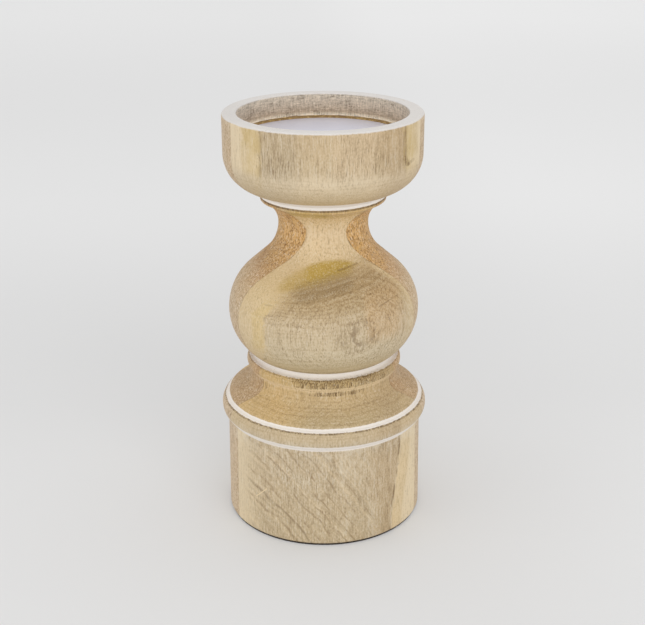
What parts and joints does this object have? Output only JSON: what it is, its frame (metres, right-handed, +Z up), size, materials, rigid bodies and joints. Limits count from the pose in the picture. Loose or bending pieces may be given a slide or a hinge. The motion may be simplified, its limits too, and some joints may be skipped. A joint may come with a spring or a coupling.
{
  "type": "wooden candlestick",
  "caption": "Turned wooden candlestick: a recessed cup on a narrow neck, a round bulb and a moulded drum base, with a loose metal plate in the cup that carries a pillar candle.",
  "frame": {"origin": "centre of the felt pad's underside, on the table, on the turning axis", "axes": "+Z up along the turning axis; the two glue planes are parallel to the XZ plane and the front board faces -Y"},
  "size_m": [0.108, 0.108, 0.215],
  "materials": {
    "outer_board_wood": "pale sapwood and grey-brown heartwood, thin matt limewash, white paint in the fillets",
    "middle_board_wood": "pinkish-tan wood with short dark pores, thin matt limewash, white paint in the fillets",
    "plate_metal": "smooth satin sheet metal",
    "base_felt": "dark felt"
  },
  "bodies": {
    "turned_body": {"front_board": "outer_board_wood", "middle_board": "middle_board_wood", "back_board": "outer_board_wood", "base_felt": "base_felt"},
    "plate": {"candle_plate": "plate_metal"}
  },
  "joints": [
    {"name": "plate_lift", "type": "slide", "parent": "turned_body", "child": "plate", "axis": [0, 0, 1], "range_m": [0, 0.02]}
  ]
}
